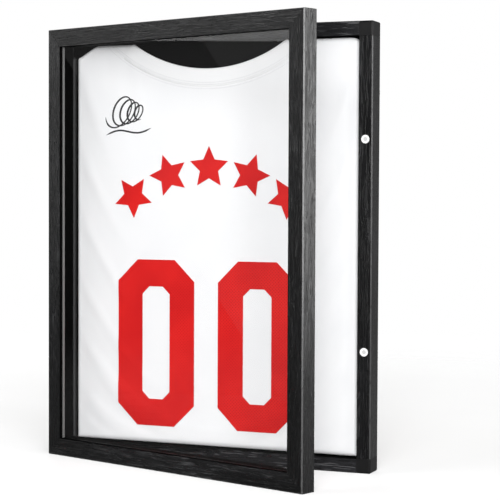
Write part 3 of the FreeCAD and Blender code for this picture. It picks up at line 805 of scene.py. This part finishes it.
def sew(name, lines, proud, thread, **sizes):
    """Stitches along lines of (x, z) points laid on the cloth, as one piece."""
    points, edges = [], []
    for line in lines:
        first = len(points)
        for (xa, za), (xb, zb) in zip(line, line[1:]):
            count = max(1, round(math.hypot(xb - xa, zb - za) / CELL))
            for i in range(count):
                points.append(on_cloth(xa + (xb - xa) * i / count, za + (zb - za) * i / count, proud))
        points.append(on_cloth(*line[-1], proud))
        edges += [(i, i + 1) for i in range(first, len(points) - 1)]
    mesh = bpy.data.meshes.new(name)
    mesh.from_pydata([tuple(p) for p in points], edges, [])
    piece = bpy.data.objects.new(name, mesh)
    bpy.context.scene.collection.objects.link(piece)
    sewing = piece.modifiers.new("sewing", "NODES")
    sewing.node_group = STITCHES
    names = {s.name: s.identifier for s in STITCHES.interface.items_tree if s.in_out == "INPUT"}
    for key, value in {**sizes, "Seed": SEWING_SEED, "Thread": thread}.items():
        sewing[names[key]] = value
    settled(piece)
    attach(piece, "box")
    return piece


def neck_row(out):
    """A line that runs round the neck at a distance out from its edge, inside the jersey's top."""
    span = math.acos((NECK_Z - jersey_high.z + BELOW_TOP) / (NECK_RADIUS + out))
    return [round_neck(out, span * (2 * i / COLLAR_STEPS - 1)) for i in range(COLLAR_STEPS + 1)]


def thread(name, dark, light):
    """Polyester sewing thread."""
    material, wire = new_finish(name)
    twist = noise(wire, wire.node("TexCoord", out="Object"), 1500.0, 2.0)
    looks = {"Base Color": twist.blend(dark, light), "Roughness": 0.4 + 0.15 * twist}
    surface(wire, looks, bump=twist, bump_mm=0.05)
    return material


white_thread = thread("white_thread", (0.50, 0.51, 0.53), (0.62, 0.63, 0.65))
STRAIGHT = {
    "Spacing": 0.0032, "Length": 0.0028, "Thickness": 0.0008, "Run": 1.0, "Zigzag": 0.0, "Unevenness": 0.06,
}
twin_rows = [neck_row(COLLAR_WIDE - inside) for inside in (0.0035, 0.0075)]
sew("collar_rows_band", twin_rows, COLLAR_THICK * 1.3, white_thread, **STRAIGHT)
sew("collar_rows_body", [neck_row(COLLAR_WIDE + 0.004)], 0.0002, white_thread, **STRAIGHT)


# Numerals and name marks: red tackle twill with a pattern of small holes, cut with a knife, tacked on and
# stitched round with a close zigzag. Two noughts stand below an arc of five stars.

twill, wire = new_finish("red_twill")
spot = wire.node("TexCoord", out="Object")
HOLE_PITCH = 0.0060
across = wire.node("SeparateXYZ", {0: spot}, out="X") * (2 * math.pi / HOLE_PITCH)
upward = wire.node("SeparateXYZ", {0: spot}, out="Z") * (2 * math.pi / HOLE_PITCH)
holes_and_shade = (across.sine() * upward.sine()).between(0.3, 0.7)
slanting = {"Vector": spot, "Rotation": (0, math.radians(45), 0), "Scale": (2600, 2600, 400)}
threads = noise(wire, wire.node("Mapping", slanting), 1.0, 1.0)
red = noise(wire, spot, 9.0, 3.0).between(0.3, 0.75).blend((0.60, 0.005, 0.006), (0.74, 0.012, 0.010))
# The small holes are painted dark red, as painted shade in them.
surface(
    wire,
    {
        "Base Color": (holes_and_shade * 0.6).blend(red, (0.26, 0.003, 0.005)),
        "Roughness": 0.62 + 0.15 * threads,
        "Specular IOR Level": 0.2,
    },
    bump=threads * 0.5 - holes_and_shade,
    bump_mm=0.12,
    strength=0.5,
)

TWILL_THICK, TWILL_CELL, TWILL_PROUD = 0.0006, 0.012, 0.0003


def inside(outline, x, z):
    """Whether a point is inside a closed outline."""
    odd = False
    for (xa, za), (xb, zb) in zip(outline, outline[1:] + outline[:1]):
        if (za > z) != (zb > z) and x < xa + (z - za) * (xb - xa) / (zb - za):
            odd = not odd
    return odd


def twill_patch(name, outline, opening=()):
    """A flat patch cut to an outline, with an opening if it has one, laid on the cloth."""
    shape = bmesh.new()
    edges = []
    for loop in [outline] + ([opening] if opening else []):
        corners = [shape.verts.new((x, 0, z)) for x, z in loop]
        edges += [shape.edges.new((a, b)) for a, b in zip(corners, corners[1:] + corners[:1])]
    bmesh.ops.triangle_fill(shape, edges=edges, use_beauty=True, normal=(0, -1, 0))
    if opening:
        middles = [(face, face.calc_center_median()) for face in shape.faces]
        lost = [face for face, middle in middles if inside(opening, middle.x, middle.z)]
        bmesh.ops.delete(shape, geom=lost, context="FACES")
    for axis, spots in ((0, [x for x, z in outline]), (2, [z for x, z in outline])):
        normal = Vector((axis == 0, 0, axis == 2))
        at = min(spots) + TWILL_CELL
        while at < max(spots):
            everything = shape.verts[:] + shape.edges[:] + shape.faces[:]
            bmesh.ops.bisect_plane(shape, geom=everything, plane_co=normal * at, plane_no=normal)
            at += TWILL_CELL
    for corner in shape.verts:
        corner.co = on_cloth(corner.co.x, corner.co.z, TWILL_PROUD)
    bmesh.ops.recalc_face_normals(shape, faces=shape.faces)
    bmesh.ops.reverse_faces(shape, faces=[face for face in shape.faces if face.normal.y > 0])
    mesh = bpy.data.meshes.new(name)
    shape.to_mesh(mesh)
    shape.free()
    mesh.materials.append(twill)
    piece = bpy.data.objects.new(name, mesh)
    bpy.context.scene.collection.objects.link(piece)
    thick = piece.modifiers.new("thickness", "SOLIDIFY")
    thick.thickness, thick.offset = TWILL_THICK, 1.0
    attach(piece, "box")
    return piece


def octagon(left, right, low, high, cut):
    """A rectangle with cut corners."""
    return [
        (left + cut, low), (right - cut, low), (right, low + cut), (right, high - cut),
        (right - cut, high), (left + cut, high), (left, high - cut), (left, low + cut),
    ]


def inset(outline, by):
    """An outline drawn in from its edge, or out if by is negative; it runs anticlockwise."""
    drawn = []
    for before, here, after in zip(outline[-1:] + outline, outline, outline[1:] + outline[:1]):
        first = (Vector(here) - Vector(before)).normalized()
        second = (Vector(after) - Vector(here)).normalized()
        normal = Vector((-first.y - second.y, first.x + second.x)).normalized()
        lean = normal.dot(Vector((-first.y, first.x)))
        drawn.append(tuple(Vector(here) + normal * (by / lean)))
    return drawn


seams, SEAM_IN = [], 0.0012
NUMERAL_LOW, NUMERAL_HIGH, STROKE, OUTER_CUT, INNER_CUT = 0.060, 0.371, 0.050, 0.040, 0.014
for side, left, right in (("left", -0.193, -0.037), ("right", 0.011, 0.167)):
    outer = octagon(left, right, NUMERAL_LOW, NUMERAL_HIGH, OUTER_CUT)
    hollow = octagon(left + STROKE, right - STROKE, NUMERAL_LOW + STROKE, NUMERAL_HIGH - STROKE, INNER_CUT)
    twill_patch(f"numeral_{side}", outer, hollow)
    seams += [inset(outer, SEAM_IN), inset(hollow, -SEAM_IN)]

ARC_RADIUS, ARC_X, ARC_Z, STAR_RADIUS, STAR_WAIST = 0.250, -0.008, 0.292, 0.040, 0.48
for number, lean in enumerate((38.3, 19.0, 0.0, -19.0, -38.3)):
    tilt = math.radians(lean)
    x, z = ARC_X - ARC_RADIUS * math.sin(tilt), ARC_Z + ARC_RADIUS * math.cos(tilt)
    star = []
    for point in range(10):
        angle = tilt + math.pi / 2 + point * math.pi / 5
        radius = STAR_RADIUS * (1 if point % 2 == 0 else STAR_WAIST)
        star.append((x + radius * math.cos(angle), z + radius * math.sin(angle)))
    twill_patch(f"name_star_{number + 1}", star)
    seams.append(inset(star, SEAM_IN))

red_thread = thread("red_thread", (0.30, 0.003, 0.004), (0.46, 0.006, 0.006))
ZIGZAG = {
    "Spacing": 0.0010, "Length": 0.0027, "Thickness": 0.0005, "Run": 0.3, "Zigzag": 0.95, "Unevenness": 0.05,
}
sew("twill_stitching", [seam + seam[:1] for seam in seams], 0.0007, red_thread, **ZIGZAG)


# Pen mark: a coil of loops that shrinks to the right, over a wavy underline. It is drawn on the cloth below
# the left end of the collar with a fine black marker.

ink, wire = new_finish("marker_ink")
soak = noise(wire, wire.node("TexCoord", out="Object"), 700.0, 3.0)
looks = {"Base Color": soak.blend((0.004, 0.004, 0.005), (0.02, 0.02, 0.022)), "Roughness": 0.5 + 0.2 * soak}
surface(wire, looks, bump=soak, bump_mm=0.03)
LOOPS_FROM, LOOPS_TO, LOOPS, LOOP_SIZES = (-0.196, 0.648), (-0.147, 0.644), 4.25, (0.031, 0.012)
LOOP_NARROW, LOOP_LEAN, LOOP_START, LOOP_STEPS = 0.75, 0.3, 200, 160
loops = []
for i in range(LOOP_STEPS + 1):
    share = i / LOOP_STEPS
    size = LOOP_SIZES[0] + (LOOP_SIZES[1] - LOOP_SIZES[0]) * share
    turn = math.radians(LOOP_START + 360 * LOOPS * share)
    middle = Vector(LOOPS_FROM).lerp(Vector(LOOPS_TO), share)
    sideways = size * (LOOP_NARROW * math.cos(turn) + LOOP_LEAN * math.sin(turn))
    loops.append((middle.x + sideways, middle.y + size * math.sin(turn)))
UNDERLINE_FROM, UNDERLINE_LONG, UNDERLINE_RISE, UNDERLINE_WAVE = (-0.219, 0.604), 0.092, 0.012, 0.005
underline = []
for i in range(41):
    share = i / 40
    rise = UNDERLINE_RISE * share + UNDERLINE_WAVE * math.sin(2 * math.pi * share)
    underline.append((UNDERLINE_FROM[0] + UNDERLINE_LONG * share, UNDERLINE_FROM[1] + rise))


INK_PROUD, INK_FILM = 0.0001, 0.00008


def pen_stroke(name, route, thin, broad):
    """A line of ink on the cloth, broader where the pen runs down and pointed at both ends."""
    points, faces = [], []
    for i, (x, z) in enumerate(route):
        ahead, behind = route[min(i + 1, len(route) - 1)], route[max(i - 1, 0)]
        way = Vector((ahead[0] - behind[0], ahead[1] - behind[1])).normalized()
        taper = min(1.0, 0.25 + 0.2 * min(i, len(route) - 1 - i))
        half = (thin + (broad - thin) * max(0.0, -way.y)) * taper / 2
        for to_side in (half, -half):
            points.append(on_cloth(x - way.y * to_side, z + way.x * to_side, INK_PROUD))
    for i in range(len(route) - 1):
        faces.append((2 * i, 2 * i + 1, 2 * i + 3, 2 * i + 2))
    stroke = mesh_piece(name, points, faces, ink)
    film = stroke.modifiers.new("film", "SOLIDIFY")
    film.thickness, film.offset = INK_FILM, 0.0
    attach(stroke, "box")


pen_stroke("pen_loops", loops, 0.0026, 0.0038)
pen_stroke("pen_underline", underline, 0.0032, 0.0036)


# Insert board: a sheet of white card in the shape of the folded jersey, which it fills and keeps flat. Pads
# of black hook-and-loop hold the jersey to the felt behind it.

card, wire = new_finish("card")
pulp = noise(wire, place(wire), 600.0, 4.0, 0.7)
looks = {"Base Color": pulp.blend((0.78, 0.78, 0.77), (0.86, 0.86, 0.85)), "Roughness": 0.7 + 0.2 * pulp}
surface(wire, looks, bump=pulp, bump_mm=0.05, strength=0.4)
finish("insert_board", card)

hook_loop, wire = new_finish("hook_loop")
hooks = wire.node("TexVoronoi", {"Vector": place(wire), "Scale": 900.0})
looks = {"Base Color": hooks.blend((0.02, 0.02, 0.02), (0.06, 0.06, 0.06)), "Roughness": 0.85 + 0.1 * hooks}
surface(wire, looks, bump=hooks, bump_mm=0.4)
finish("jersey_fixing_pads", hook_loop)


# Wall fittings: domed rubber bumpers on the backs of the lower corner blocks, and two zinc-plated D-ring
# hangers, each a folded strap screwed to the back of a stile with its ring hanging in the fold.

rubber, wire = new_finish("bumper_rubber")
bloom = noise(wire, place(wire), 500.0, 4.0)
looks = {
    "Base Color": bloom.blend((0.012, 0.012, 0.012), (0.035, 0.035, 0.034)),
    "Roughness": 0.6 + 0.2 * bloom,
}
surface(wire, looks, bump=bloom, bump_mm=0.05)
finish("wall_bumpers", rubber)
for node in ("hanger_ring_left", "hanger_ring_right", "hanger_straps", "hanger_screws"):
    finish(node, zinc_steel)
